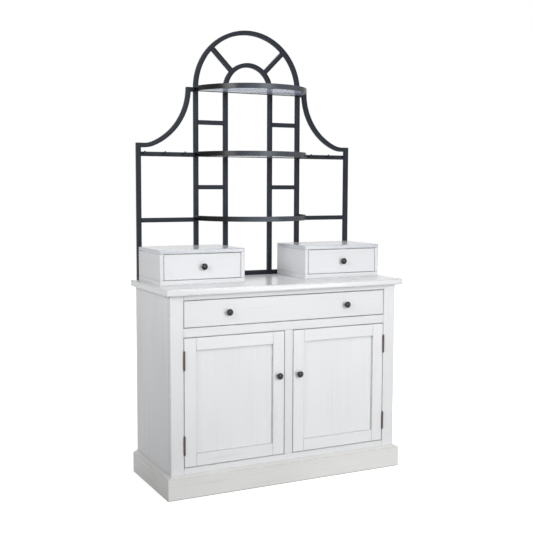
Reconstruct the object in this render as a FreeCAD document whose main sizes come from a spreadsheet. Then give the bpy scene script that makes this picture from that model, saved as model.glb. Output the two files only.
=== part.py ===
"""Baker's rack: a painted sideboard base that carries an arched square-tube rack.

Millimetres. +X is to the right, +Y to the back and +Z up. The origin is on the
floor, under the middle of the overall width and depth. The left half is
modelled from the sizes in the sheet and the right half mirrors it.
"""

import FreeCAD
import Part

import math
import os
import re

import Sketcher

# Driving sizes: one row of the sheet each.
SIZES = {
    # worktop and case
    "counter_width": 1194,
    "counter_depth": 480,
    "counter_height": 915,
    "counter_thickness": 28,
    "counter_edge_round": 2.5,
    "side_overhang": 25,
    "front_overhang": 28,
    "side_thickness": 18,
    "back_thickness": 6,
    "back_rebate": 8,
    "floor_thickness": 18,
    # face frame and its openings
    "frame_thickness": 22,
    "stile_width": 61,
    "middle_stile_width": 41,
    "bottom_rail_depth": 80,
    "door_opening_bottom": 130,
    "middle_rail_depth": 40,
    "drawer_opening_height": 121,
    "top_rail_depth": 23,
    # plinth skirting with its sloped moulding
    "plinth_projection": 21,
    "plinth_flat_height": 94,
    "moulding_rise": 10,
    "moulding_run": 15,
    # inner shelf on pegs
    "inner_shelf_height": 415,
    "inner_shelf_thickness": 18,
    "inner_shelf_setback": 30,
    "inner_shelf_play": 2,
    "peg_thickness": 5,
    "peg_width": 10,
    "peg_length": 12,
    "peg_inset": 50,
    # doors
    "door_gap": 3,
    "door_member_width": 56,
    "panel_recess": 12,
    "panel_thickness": 6,
    "panel_tongue": 8,
    "groove_play": 1,
    # lift-off hinges
    "barrel_radius": 4,
    "pin_radius": 2,
    "pin_play": 0.05,
    "leaf_thickness": 1.2,
    "leaf_width": 15,
    "hinge_height": 80,
    "knuckle_play": 0.3,
    "pin_end": 4,
    "hinge_axis_stand": 4.5,
    "hinge_end_distance": 100,
    # wide drawer and its slides
    "drawer_side_thickness": 12,
    "drawer_box_depth": 400,
    "drawer_box_height": 84,
    "drawer_box_lift": 10,
    "drawer_bottom_thickness": 5,
    "drawer_bottom_lift": 8,
    "slide_space": 13,
    "slide_height": 36,
    "slide_metal": 1.2,
    "slide_play": 0.5,
    "slide_front_setback": 2,
    # knobs
    "knob_radius": 15,
    "knob_neck_radius": 5.5,
    "knob_neck_length": 15,
    "knob_stand": 24,
    "wide_knob_position": 300,
    "door_knob_height": 497.5,
    # drawer boxes on the worktop
    "box_width": 409,
    "box_depth": 288,
    "box_height": 156,
    "box_side_inset": 31,
    "box_rail_gap": 4,
    "box_wall": 18,
    "box_top_thickness": 18,
    "box_base_thickness": 21,
    "box_back_thickness": 6,
    "box_gap": 2,
    "box_front_thickness": 16,
    "tray_wall": 10,
    "tray_height": 78,
    "tray_rear_clearance": 26,
    "tray_bottom_thickness": 5,
    "tray_lift": 0.5,
    # rack of square tube
    "tube_size": 21,
    "tube_wall": 1.2,
    "rack_side_inset": 28,
    "wing_width": 285.5,
    "inner_post_face": 130,
    "arch_centre_height": 1814.5,
    "shoulder_top": 1815,
    "scroll_run": 248,
    "post_cap_top": 1550,
    "scroll_radius": 288,
    "scroll_toe_radius": 120,
    "upper_rung_top": 1663,
    "lower_rung_top": 1356.5,
    "upper_wing_bar_top": 1509.5,
    "lower_wing_bar_top": 1202.5,
    "spoke_angle": 45,
    # hooks on the upper wing bars
    "hook_bar": 6,
    "hook_reach": 24,
    "hook_rise": 13,
    "hook_drop": 10,
    "hook_end_distance": 32,
    "hook_pitch": 99,
    # half-round shelves
    "shelf_arc_setback": 5,
    "band_height": 24,
    "band_metal": 3,
    "rear_bar_width": 14,
    "tab_reach": 16,
    "tab_width": 20,
    "tab_angle": 45,
    "top_shelf_underside": 1796,
    "middle_shelf_underside": 1489.5,
    "lower_shelf_underside": 1188,
    "glass_thickness": 6,
    "glass_play": 1,
}

# Sizes that follow from the driving ones.
DERIVED = {
    "counter_half": "counter_width / 2",
    "rear": "counter_depth / 2",
    "counter_front": "-counter_depth / 2",
    "slab_underside": "counter_height - counter_thickness",
    "case_half": "counter_half - side_overhang",
    "case_front": "counter_front + front_overhang",
    "frame_back": "case_front + frame_thickness",
    "opening_half": "case_half - stile_width",
    "drawer_opening_top": "slab_underside - top_rail_depth",
    "drawer_opening_bottom": "drawer_opening_top - drawer_opening_height",
    "door_opening_top": "drawer_opening_bottom - middle_rail_depth",
    "middle_half": "middle_stile_width / 2",
    "side_inner": "case_half - side_thickness",
    "back_face": "rear - back_thickness",
    "door_hinge_edge": "opening_half - door_gap",
    "door_free_edge": "middle_half + door_gap",
    "door_bottom": "door_opening_bottom + door_gap",
    "door_top": "door_opening_top - door_gap",
    "groove_front": "case_front + panel_recess",
    "groove_back": "groove_front + panel_thickness",
    "hinge_x": "opening_half - door_gap / 2",
    "hinge_y": "case_front - hinge_axis_stand",
    "knuckle_length": "hinge_height / 2",
    "lower_hinge": "door_opening_bottom + hinge_end_distance",
    "upper_hinge": "door_opening_top - hinge_end_distance",
    "drawer_bottom_edge": "drawer_opening_bottom + door_gap",
    "drawer_top_edge": "drawer_opening_top - door_gap",
    "drawer_side_face": "opening_half - slide_space",
    "drawer_side_inner": "drawer_side_face - drawer_side_thickness",
    "drawer_rear": "frame_back + drawer_box_depth",
    "drawer_base": "drawer_bottom_edge + drawer_box_lift",
    "slide_middle": "drawer_base + drawer_box_height / 2",
    "plinth_half": "case_half + plinth_projection",
    "plinth_front": "case_front - plinth_projection",
    "plinth_top": "plinth_flat_height + moulding_rise",
    "box_outer": "counter_half - box_side_inset",
    "box_inner": "box_outer - box_width",
    "box_rear": "rack_front - box_rail_gap",
    "box_front": "box_rear - box_depth",
    "box_top": "counter_height + box_height",
    "box_lid": "box_top - box_top_thickness",
    "box_floor": "counter_height + box_base_thickness",
    "box_middle": "(box_outer + box_inner) / 2",
    "tray_outer": "box_outer - box_wall - box_gap",
    "tray_inner": "box_inner + box_wall + box_gap",
    "tray_front": "box_front + box_front_thickness",
    "tray_rear": "box_rear - box_back_thickness - tray_rear_clearance",
    "tray_base": "box_floor + tray_lift",
    "rack_front": "rear - tube_size",
    "outer_post_face": "counter_half - rack_side_inset",
    "tall_post_face": "outer_post_face - wing_width",
    "shoulder_face": "outer_post_face - scroll_run",
    "rail_top": "counter_height + tube_size",
    "shoulder_underside": "shoulder_top - tube_size",
    "scroll_span": "outer_post_face - tube_size - shoulder_face + tube_size / 2",
    "scroll_fall": "shoulder_top - tube_wall - post_cap_top + tube_size / 2",
    "shelf_centre": "rack_front + shelf_arc_setback",
    "shelf_front": "shelf_centre - tall_post_face",
}

HOOKS_PER_WING = 3
UP = FreeCAD.Vector(0, 0, 1)

doc = FreeCAD.newDocument("BakersRack")
sheet = doc.addObject("Spreadsheet::Sheet", "Sizes")
nodes = []


def fill_sheet():
    """Write the driving sizes, then the formulas that follow from them."""
    rows = {name: str(size) for name, size in SIZES.items()}
    rows.update({name: f"={formula}" for name, formula in DERIVED.items()})
    for row, (name, content) in enumerate(rows.items(), start=1):
        sheet.set(f"A{row}", name)
        sheet.set(f"B{row}", content)
        sheet.setAlias(f"B{row}", name)
    doc.recompute()


def cells(expression):
    """The expression with every size's name pointing at its cell."""
    names = "|".join(sorted(SIZES | DERIVED, key=len, reverse=True))
    return re.sub(rf"\b({names})\b", r"Sizes.\1", str(expression))


def value(expression):
    """The expression's value with the sheet as it is now."""
    return float(sheet.evalExpression(cells(expression)))


def bind(item, prop, expression):
    """Tie one property of a document object to an expression."""
    item.setExpression(prop, cells(expression))


def place(item, x="0", y="0", z="0"):
    """Tie an object's position to expressions."""
    for axis, expression in zip("xyz", (x, y, z)):
        bind(item, f"Placement.Base.{axis}", expression)


def board(name, x, y, z):
    """A straight board; each of x, y and z is a (low, high) pair of planes."""
    box = doc.addObject("Part::Box", name)
    for prop, (low, high) in zip(("Length", "Width", "Height"), (x, y, z)):
        bind(box, prop, f"({high}) - ({low})")
    place(box, x[0], y[0], z[0])
    return box


def cylinder(name, radius, length, x, y, z):
    """An upright cylinder that stands on z."""
    rod = doc.addObject("Part::Cylinder", name)
    bind(rod, "Radius", radius)
    bind(rod, "Height", length)
    place(rod, x, y, z)
    return rod


def cut(name, base, *tools):
    """The base less each tool in turn."""
    for tool in tools:
        result = doc.addObject("Part::Cut", name)
        result.Base = base
        result.Tool = tool
        base = result
    return base


def common(name, *items):
    """What all the items share."""
    result = doc.addObject("Part::MultiCommon", name)
    result.Shapes = list(items)
    return result


def fuse(name, *items):
    """The items joined into one solid."""
    result = doc.addObject("Part::MultiFuse", name)
    result.Shapes = list(items)
    result.Refine = True
    return result


def group(name, *items):
    """Several separate solids kept as one sub-part."""
    result = doc.addObject("Part::Compound", name)
    result.Links = list(items)
    return result


def mirrored(name, item):
    """The item's mirror image across the middle of the rack."""
    result = doc.addObject("Part::Mirroring", name)
    result.Source = item
    result.Normal = (1, 0, 0)
    return result


def both_sides(name, *items):
    """The items and their mirror images as one sub-part."""
    copies = [mirrored(f"{name}_right", item) for item in items]
    return group(name, *items, *copies)


def inset(span, amount):
    """A span shrunk by the same amount at both ends."""
    return f"({span[0]}) + {amount}", f"({span[1]}) - {amount}"


def tube(name, run, x, y, z):
    """A hollow square tube that runs along one axis and is open at its ends."""
    spans = dict(x=x, y=y, z=z)
    bore = {axis: span if axis == run else inset(span, "tube_wall") for axis, span in spans.items()}
    return cut(name, board(f"{name}_skin", x, y, z), board(f"{name}_bore", **bore))


def body_sketch(body, role, name):
    """A sketch on one of the body's own origin planes."""
    sketch = body.newObject("Sketcher::SketchObject", name)
    plane = next(item for item in body.Origin.OriginFeatures if item.Role == role)
    sketch.AttachmentSupport = [(plane, "")]
    sketch.MapMode = "FlatFace"
    return sketch


def point(x, y):
    """A point in a sketch."""
    return FreeCAD.Vector(x, y, 0)


def pipe(body, name, section, path):
    """Sweep a section along every edge of a path."""
    sweep = body.newObject("PartDesign::AdditivePipe", name)
    sweep.Profile = section
    sweep.Spine = (path, [f"Edge{number}" for number in range(1, path.GeometryCount + 1)])
    return sweep


def pin_point(sketch, geometry, end, x, y):
    """Fix one sketch point at bound distances from the sketch's origin."""
    for kind, expression in (("DistanceX", x), ("DistanceY", y)):
        index = sketch.addConstraint(
            Sketcher.Constraint(kind, -1, 1, geometry, end, value(expression)))
        bind(sketch, f"Constraints[{index}]", expression)


def loop(sketch, corners):
    """A closed outline of straight lines through the bound corners."""
    points = [point(value(x), value(y)) for x, y in corners]
    first = sketch.GeometryCount
    for index, start in enumerate(points):
        sketch.addGeometry(Part.LineSegment(start, points[(index + 1) % len(points)]))
    for index, (x, y) in enumerate(corners):
        following = first + (index + 1) % len(points)
        sketch.addConstraint(Sketcher.Constraint("Coincident", first + index, 2, following, 1))
        pin_point(sketch, first + index, 1, x, y)


def rectangle(x, y):
    """The corners of a rectangle between two spans."""
    return (x[0], y[0]), (x[1], y[0]), (x[1], y[1]), (x[0], y[1])


def tube_section(sketch, x, y):
    """The hollow square section of the tube: its skin and its bore."""
    loop(sketch, rectangle(x, y))
    loop(sketch, rectangle(inset(x, "tube_wall"), inset(y, "tube_wall")))


def node(name, item):
    """Register a finished sub-part under the name of its file."""
    item.Label = name
    nodes.append(item)
    return item


# --- case -----------------------------------------------------------------

def make_case():
    """Sides, back, floor and inner shelf behind the face frame."""
    side = board("side", ("-case_half", "-side_inner"), ("frame_back", "rear"),
                 ("0", "slab_underside"))
    rebate = board("rebate", ("-side_inner - back_rebate", "-side_inner"), ("back_face", "rear"),
                   ("0", "slab_underside"))
    panel = node("side_panel_left", cut("side_panel", side, rebate))
    node("side_panel_right", mirrored("side_panel_mirror", panel))
    node("back_panel", board("back", ("-side_inner - back_rebate", "side_inner + back_rebate"),
                             ("back_face", "rear"), ("0", "slab_underside")))
    node("floor_panel", board("floor", ("-side_inner", "side_inner"), ("frame_back", "back_face"),
                              ("door_opening_bottom - floor_thickness", "door_opening_bottom")))
    shelf_low = "inner_shelf_height - inner_shelf_thickness"
    shelf_front = "frame_back + inner_shelf_setback"
    node("inner_shelf", board(
        "inner_board", ("-side_inner + inner_shelf_play", "side_inner - inner_shelf_play"),
        (shelf_front, "back_face - inner_shelf_play"), (shelf_low, "inner_shelf_height")))
    rearmost = "back_face - inner_shelf_play - peg_inset"
    pegs = [board("peg", ("-side_inner", "-side_inner + peg_length"), span,
                  (f"{shelf_low} - peg_thickness", shelf_low))
            for span in ((f"{shelf_front} + peg_inset", f"{shelf_front} + peg_inset + peg_width"),
                         (f"{rearmost} - peg_width", rearmost))]
    node("shelf_pegs", both_sides("pegs", *pegs))


def make_face_frame():
    """Stiles and rails round the drawer and door openings."""
    depth = ("case_front", "frame_back")
    stile = node("frame_stile_left", board("stile", ("-case_half", "-opening_half"), depth,
                                           ("0", "slab_underside")))
    node("frame_stile_right", mirrored("stile_mirror", stile))
    across = ("-opening_half", "opening_half")
    node("frame_top_rail", board("top_rail", across, depth, ("drawer_opening_top", "slab_underside")))
    node("frame_middle_rail", board("middle_rail", across, depth,
                                    ("door_opening_top", "drawer_opening_bottom")))
    node("frame_bottom_rail", board(
        "bottom_rail", across, depth,
        ("door_opening_bottom - bottom_rail_depth", "door_opening_bottom")))
    node("frame_middle_stile", board("middle_stile", ("-middle_half", "middle_half"), depth,
                                     ("door_opening_bottom", "door_opening_top")))


def make_worktop():
    """The slab with eased upper and lower edges at its front and sides."""
    slab = board("slab", ("-counter_half", "counter_half"), ("counter_front", "rear"),
                 ("slab_underside", "counter_height"))
    doc.recompute()
    rear = value("rear")
    edges = [number for number, edge in enumerate(slab.Shape.Edges, start=1)
             if min(vertex.Point.y for vertex in edge.Vertexes) < rear - 1
             and edge.Length > value("counter_thickness") + 1]
    eased = doc.addObject("Part::Fillet", "eased_slab")
    eased.Base = slab
    eased.Edges = [(number, value("counter_edge_round"), value("counter_edge_round"))
                   for number in edges]
    node("worktop", eased)


def skirting(name, plan, on_outer_edge):
    """A mitred plinth board, a trapezium in plan, with its upper outer edge sloped."""
    body = doc.addObject("PartDesign::Body", name)
    sketch = body_sketch(body, "XY_Plane", f"{name}_plan")
    loop(sketch, plan)
    pad = body.newObject("PartDesign::Pad", f"{name}_height")
    pad.Profile = sketch
    bind(pad, "Length", "plinth_top")
    doc.recompute()
    top = value("plinth_top")
    edge = next(number for number, edge in enumerate(pad.Shape.Edges, start=1)
                if all(abs(vertex.Z - top) < 0.01 and on_outer_edge(vertex)
                       for vertex in edge.Vertexes))
    slope = body.newObject("PartDesign::Chamfer", f"{name}_moulding")
    slope.Base = (pad, [f"Edge{edge}"])
    slope.ChamferType = "Two distances"
    bind(slope, "Size", "moulding_rise")
    bind(slope, "Size2", "moulding_run")
    doc.recompute()
    lowest = min(vertex.Z for vertex in slope.Shape.Vertexes if vertex.Z > 0.01)
    if lowest < value("plinth_flat_height") - 0.01:
        slope.FlipDirection = True
    return body


def make_plinth():
    """Skirting boards round the foot of the case, mitred at the front corners."""
    front_y, outer_x = value("plinth_front"), value("-plinth_half")
    front = skirting("front_skirting", (
        ("-plinth_half", "plinth_front"), ("plinth_half", "plinth_front"),
        ("case_half", "case_front"), ("-case_half", "case_front")),
        lambda vertex: abs(vertex.Y - front_y) < 0.01)
    node("plinth_front", front)
    side = skirting("side_skirting", (
        ("-plinth_half", "plinth_front"), ("-case_half", "case_front"),
        ("-case_half", "rear"), ("-plinth_half", "rear")),
        lambda vertex: abs(vertex.X - outer_x) < 0.01)
    node("plinth_sides", both_sides("side_skirtings", side))


# --- doors and hinges -----------------------------------------------------

def make_left_door():
    """Two stiles, two rails and the flat panel held in their grooves."""
    depth = ("case_front", "frame_back")
    groove_reach = "(panel_tongue + groove_play)"
    hinge_inner = "-door_hinge_edge + door_member_width"
    free_inner = "-door_free_edge - door_member_width"
    low_inner = "door_bottom + door_member_width"
    high_inner = "door_top - door_member_width"
    groove = board(
        "groove", (f"{hinge_inner} - {groove_reach}", f"{free_inner} + {groove_reach}"),
        ("groove_front", "groove_back"),
        (f"{low_inner} - {groove_reach}", f"{high_inner} + {groove_reach}"))
    hinge_stile = board("hinge_stile", ("-door_hinge_edge", hinge_inner), depth,
                        ("door_bottom", "door_top"))
    free_stile = board("free_stile", (free_inner, "-door_free_edge"), depth,
                       ("door_bottom", "door_top"))
    low_rail = board("low_rail", (hinge_inner, free_inner), depth, ("door_bottom", low_inner))
    high_rail = board("high_rail", (hinge_inner, free_inner), depth, (high_inner, "door_top"))
    stiles = group("door_stiles", cut("hinge_stile_cut", hinge_stile, groove),
                   cut("free_stile_cut", free_stile, groove))
    rails = group("door_rails", cut("low_rail_cut", low_rail, groove),
                  cut("high_rail_cut", high_rail, groove))
    panel = board("door_panel", (f"{hinge_inner} - panel_tongue", f"{free_inner} + panel_tongue"),
                  ("groove_front", "groove_back"),
                  (f"{low_inner} - panel_tongue", f"{high_inner} + panel_tongue"))
    knob = make_knob("door_knob", "-door_free_edge - door_member_width / 2", "case_front",
                     "door_knob_height")
    leaves = hinge_leaves("door", "{middle}", "-door_hinge_edge - leaf_thickness",
                          "pin_radius + pin_play")
    return dict(stiles=stiles, rails=rails, panel=panel, hinge_leaves=leaves, knob=knob)


def hinge_leaves(name, knuckle_foot, leaf_face, bore_radius):
    """One side of both left lift-off hinges: a leaf and its knuckle, above or below the other's."""
    plate = (leaf_face, f"{leaf_face} + leaf_thickness")
    halves = []
    for middle in ("lower_hinge", "upper_hinge"):
        low = f"{middle} - hinge_height / 2"
        foot = knuckle_foot.format(middle=middle)
        knuckle = (f"{foot} + knuckle_play / 2", f"{foot} + knuckle_length - knuckle_play / 2")
        leaf = board(f"{name}_leaf", plate, ("case_front", "case_front + leaf_width"),
                     (low, f"{low} + hinge_height"))
        neck = board(f"{name}_neck", plate, ("hinge_y", "case_front + leaf_width"), knuckle)
        barrel = cylinder(f"{name}_knuckle", "barrel_radius", "knuckle_length - knuckle_play",
                          "-hinge_x", "hinge_y", knuckle[0])
        bore = cylinder(f"{name}_bore", bore_radius, "hinge_height", "-hinge_x", "hinge_y", low)
        halves.append(cut(f"{name}_hinge", fuse(f"{name}_hinge_blank", leaf, neck, barrel), bore))
    return group(f"{name}_leaves", *halves)


def make_hinge_pins():
    """Pins that stand out above and below each barrel."""
    pins = [cylinder("hinge_pin", "pin_radius", "hinge_height + 2 * pin_end", "-hinge_x", "hinge_y",
                     f"{middle} - hinge_height / 2 - pin_end")
            for middle in ("lower_hinge", "upper_hinge")]
    return both_sides("hinge_pins", *pins)


def make_doors():
    """Both doors, their hinges and pins."""
    for part, item in make_left_door().items():
        node(f"left_door_{part}", item)
        node(f"right_door_{part}", mirrored(f"right_door_{part}", item))
    frame_side = hinge_leaves("frame", "{middle} - knuckle_length", "-opening_half", "pin_radius")
    node("hinge_frame_leaves", both_sides("frame_leaves", frame_side))
    node("hinge_pins", make_hinge_pins())


# --- knobs ----------------------------------------------------------------

def make_knob(name, x, y, z):
    """A turned knob, a round head on a neck, whose foot sits on the plane y."""
    body = doc.addObject("PartDesign::Body", name)
    sketch = body_sketch(body, "XZ_Plane", f"{name}_profile")
    loop(sketch, (("0", "0"), ("knob_neck_radius", "0"), ("knob_neck_radius", "knob_neck_length"),
                  ("knob_radius", "knob_neck_length"), ("knob_radius", "knob_stand"),
                  ("0", "knob_stand")))
    turning = body.newObject("PartDesign::Revolution", f"{name}_turning")
    turning.Profile = sketch
    turning.ReferenceAxis = (sketch, ["V_Axis"])
    turning.Angle = 360
    body.Placement.Rotation = FreeCAD.Rotation(FreeCAD.Vector(1, 0, 0), 90)
    place(body, x, y, z)
    return body


# --- wide drawer ----------------------------------------------------------

def make_wide_drawer():
    """The drawer front, its box and the slides at its sides."""
    across = ("-door_hinge_edge", "door_hinge_edge")
    node("wide_drawer_front", board("drawer_front", across, ("case_front", "frame_back"),
                                    ("drawer_bottom_edge", "drawer_top_edge")))
    wall_top = "drawer_base + drawer_box_height"
    side = board("drawer_side", ("-drawer_side_face", "-drawer_side_inner"),
                 ("frame_back", "drawer_rear"), ("drawer_base", wall_top))
    node("wide_drawer_sides", both_sides("drawer_sides", side))
    node("wide_drawer_back", board(
        "drawer_back", ("-drawer_side_inner", "drawer_side_inner"),
        ("drawer_rear - drawer_side_thickness", "drawer_rear"), ("drawer_base", wall_top)))
    floor_low = "drawer_base + drawer_bottom_lift"
    node("wide_drawer_bottom", board(
        "drawer_bottom", ("-drawer_side_inner", "drawer_side_inner"),
        ("frame_back", "drawer_rear - drawer_side_thickness"),
        (floor_low, f"{floor_low} + drawer_bottom_thickness")))
    knob = make_knob("wide_knob", "-wide_knob_position", "case_front",
                     "(drawer_bottom_edge + drawer_top_edge) / 2")
    node("wide_drawer_knobs", both_sides("wide_knobs", knob))
    make_slides()


def channel(name, outer_x, inner_x, half_height, opens_inward):
    """A C-shaped steel channel along Y; its web is on the side it doesn't open to."""
    length = ("frame_back + slide_front_setback", "drawer_rear - slide_front_setback")
    middle = "slide_middle"
    skin = board(f"{name}_skin", (outer_x, inner_x), length,
                 (f"{middle} - ({half_height})", f"{middle} + ({half_height})"))
    if opens_inward:
        hollow_x = (f"{outer_x} + slide_metal", inner_x)
    else:
        hollow_x = (outer_x, f"{inner_x} - slide_metal")
    hollow = board(f"{name}_hollow", hollow_x, length,
                   (f"{middle} - ({half_height}) + slide_metal",
                    f"{middle} + ({half_height}) - slide_metal"))
    return cut(name, skin, hollow)


def make_slides():
    """Channels on cleats behind the frame and the rails that run in them."""
    outer = channel("slide_channel", "-opening_half", "-drawer_side_face - slide_metal - slide_play",
                    "slide_height / 2", True)
    inner = channel("slide_rail", "-opening_half + slide_metal + slide_play", "-drawer_side_face",
                    "slide_height / 2 - slide_metal - slide_play", False)
    node("drawer_slide_channels", both_sides("slide_channels", outer))
    node("wide_drawer_rails", both_sides("slide_rails", inner))
    cleat = board("cleat", ("-side_inner", "-opening_half"), ("frame_back", "back_face"),
                  ("slide_middle - slide_height", "slide_middle + slide_height"))
    node("drawer_cleats", both_sides("cleats", cleat))


# --- drawer boxes ---------------------------------------------------------

def make_left_box():
    """The case of the left drawer box and the drawer that slides in it."""
    walls_z = ("box_floor", "box_lid")
    outer_wall = board("box_outer_wall", ("-box_outer", "-box_outer + box_wall"),
                       ("box_front", "box_rear"), walls_z)
    inner_wall = board("box_inner_wall", ("-box_inner - box_wall", "-box_inner"),
                       ("box_front", "box_rear"), walls_z)
    back = board("box_back", ("-box_outer + box_wall", "-box_inner - box_wall"),
                 ("box_rear - box_back_thickness", "box_rear"), walls_z)
    whole = (("-box_outer", "-box_inner"), ("box_front", "box_rear"))
    lid = board("box_lid_board", *whole, ("box_lid", "box_top"))
    base = board("box_base_board", *whole, ("counter_height", "box_floor"))
    front = board("box_drawer_front", ("-tray_outer", "-tray_inner"), ("box_front", "tray_front"),
                  ("box_floor + box_gap", "box_lid - box_gap"))
    block = board("tray_block", ("-tray_outer", "-tray_inner"),
                  ("tray_front", "tray_rear"), ("tray_base", "tray_base + tray_height"))
    hollow = board("tray_hollow", inset(("-tray_outer", "-tray_inner"), "tray_wall"),
                   ("tray_front", "tray_rear - tray_wall"),
                   ("tray_base + tray_bottom_thickness", "tray_base + tray_height"))
    knob = make_knob("box_knob", "-box_middle", "box_front", "(box_floor + box_lid) / 2")
    return dict(top=lid, sides=group("box_sides", outer_wall, inner_wall), base=base, back=back,
                drawer_front=front, drawer_tray=cut("box_tray", block, hollow), knob=knob)


def make_boxes():
    """Both drawer boxes."""
    for part, item in make_left_box().items():
        node(f"left_box_{part}", item)
        node(f"right_box_{part}", mirrored(f"right_box_{part}", item))


# --- rack -----------------------------------------------------------------

DEPTH = ("rack_front", "rear")


def make_posts():
    """Three pairs of upright tubes on the base rail."""
    node("rack_base_rail", tube("base_rail", "x", ("-outer_post_face", "outer_post_face"), DEPTH,
                                ("counter_height", "rail_top")))
    for label, face, top in (("outer", "outer_post_face", "post_cap_top"),
                             ("tall", "tall_post_face", "arch_centre_height"),
                             ("inner", "inner_post_face", "arch_centre_height")):
        post = tube(f"{label}_post", "z", (f"-{face}", f"-{face} + tube_size"), DEPTH,
                    ("rail_top", top))
        if label == "outer":
            cap = board("post_cap", (f"-{face}", f"-{face} + tube_size"), DEPTH,
                        (f"{top} - tube_wall", top))
            post = fuse("capped_post", post, cap)
        node(f"rack_{label}_posts", both_sides(f"{label}_posts", post))


def arch(name, face):
    """A half ring of square tube whose outer face springs from the posts' faces."""
    body = doc.addObject("PartDesign::Body", name)
    sketch = body_sketch(body, "XY_Plane", f"{name}_section")
    tube_section(sketch, (f"{face} - tube_size", face), ("0", "tube_size"))
    bend = body.newObject("PartDesign::Revolution", f"{name}_bend")
    bend.Profile = sketch
    bend.ReferenceAxis = (sketch, ["V_Axis"])
    bend.Angle = 180
    bend.Reversed = True
    place(body, "0", "rack_front", "arch_centre_height")
    return body


def make_arches():
    """The outer arch, and the fanlight of the inner arch and its spokes."""
    node("rack_outer_arch", arch("outer_arch", "tall_post_face"))
    ring = []
    for name, radius in (("ring_outside", "tall_post_face - tube_size"),
                         ("ring_inside", "inner_post_face")):
        disc = cylinder(name, radius, "tube_size", "0", "rear", "arch_centre_height")
        disc.Placement.Rotation = FreeCAD.Rotation(FreeCAD.Vector(1, 0, 0), 90)
        ring.append(disc)
    spoke = tube("spoke_blank", "z", ("-tube_size / 2", "tube_size / 2"), DEPTH,
                 ("0", "tall_post_face"))
    spoke.Placement.Rotation = FreeCAD.Rotation(FreeCAD.Vector(0, -1, 0), value("spoke_angle"))
    bind(spoke, "Placement.Rotation.Angle", "spoke_angle")
    place(spoke, "0", "0", "arch_centre_height")
    fitted = common("spoke", spoke, cut("spoke_annulus", *ring))
    node("rack_fanlight", group("fanlight", arch("inner_arch", "inner_post_face"), fitted,
                                mirrored("spoke_right", fitted)))


def make_crossbars():
    """Rungs between the tall and inner posts, and straight bars across the side wings."""
    bars = []
    for name, span, tops in (
            ("rung", ("-tall_post_face + tube_size", "-inner_post_face"),
             ("upper_rung_top", "lower_rung_top")),
            ("wing_bar", ("-outer_post_face + tube_size", "-tall_post_face"),
             ("upper_wing_bar_top", "lower_wing_bar_top"))):
        bars += [tube(name, "x", span, DEPTH, (f"{top} - tube_size", top)) for top in tops]
    node("rack_crossbars", both_sides("crossbars", *bars))


def make_hook(x):
    """A square rod that stands out from the bar and turns up at its tip."""
    wide = (f"{x} - hook_bar / 2", f"{x} + hook_bar / 2")
    low = "upper_wing_bar_top - hook_drop"
    end = "rack_front - hook_reach"
    arm = board("hook_arm", wide, (end, "rack_front"), (low, f"{low} + hook_bar"))
    tip = board("hook_tip", wide, (end, f"{end} + hook_bar"), (low, f"{low} + hook_rise"))
    return fuse("hook", arm, tip)


def make_hooks():
    """Three hooks along each upper wing bar."""
    hooks = [make_hook(f"-outer_post_face + hook_end_distance + {index} * hook_pitch")
             for index in reversed(range(HOOKS_PER_WING))]
    node("rack_hooks", both_sides("hooks", *hooks))


def make_scrolls():
    """Shoulder bars, and the concave bends that fall from them to the outer posts."""
    shoulder = tube("shoulder", "x", ("-shoulder_face + tube_size", "-tall_post_face"), DEPTH,
                    ("shoulder_underside", "shoulder_top"))
    body = doc.addObject("PartDesign::Body", "scroll")
    path = body_sketch(body, "XZ_Plane", "scroll_path")
    large, small = value("scroll_radius"), value("scroll_toe_radius")
    span, fall = value("scroll_span"), value("scroll_fall")
    turn = math.asin((fall - small) / (large - small))
    knee = point(-large + large * math.cos(turn), -large * math.sin(turn))
    toe = point(knee.x - small * math.cos(turn), -fall)
    bends = []
    for centre, radius, low, high in ((point(-large, 0), large, knee, point(0, 0)),
                                      (point(toe.x, small - fall), small, toe, knee)):
        circle = Part.Circle(centre, UP, radius)
        bends.append(Part.ArcOfCircle(circle, circle.parameter(low), circle.parameter(high)))
    path.addGeometry(bends + [Part.LineSegment(toe, point(-span, -fall))])
    path.addConstraint([
        Sketcher.Constraint("Coincident", 0, 2, -1, 1),
        Sketcher.Constraint("PointOnObject", 0, 3, -1),
        Sketcher.Constraint("Tangent", 0, 1, 1, 2),
        Sketcher.Constraint("Tangent", 1, 1, 2, 1),
        Sketcher.Constraint("Horizontal", 2),
        Sketcher.Constraint("Radius", 0, large),
        Sketcher.Constraint("Radius", 1, small)])
    bind(path, "Constraints[5]", "scroll_radius")
    bind(path, "Constraints[6]", "scroll_toe_radius")
    pin_point(path, 2, 2, "-scroll_span", "-scroll_fall")
    section = body_sketch(body, "XY_Plane", "scroll_section")
    tube_section(section, ("-tube_size / 2", "tube_size / 2"), ("0", "tube_size"))
    pipe(body, "scroll_bend", section, path)
    place(body, "-shoulder_face + tube_size / 2", "rack_front", "shoulder_top - tube_wall")
    cap = board("scroll_cap", ("-shoulder_face", "-shoulder_face + tube_size"), DEPTH,
                ("shoulder_top - tube_wall", "shoulder_top"))
    node("rack_scrolls", both_sides("scrolls", fuse("capped_scroll", body, cap), shoulder))


# --- shelves --------------------------------------------------------------

def shelf_slice(name, margin, y, z):
    """The part of the shelf's round plan between two depths, drawn in by a margin."""
    slab = board(f"{name}_slab", ("-tall_post_face", "tall_post_face"), y, z)
    disc = cylinder(f"{name}_disc", f"tall_post_face - ({margin})", f"{z[1]} - ({z[0]})",
                    "0", "shelf_centre", z[0])
    return common(name, slab, disc)


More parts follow.
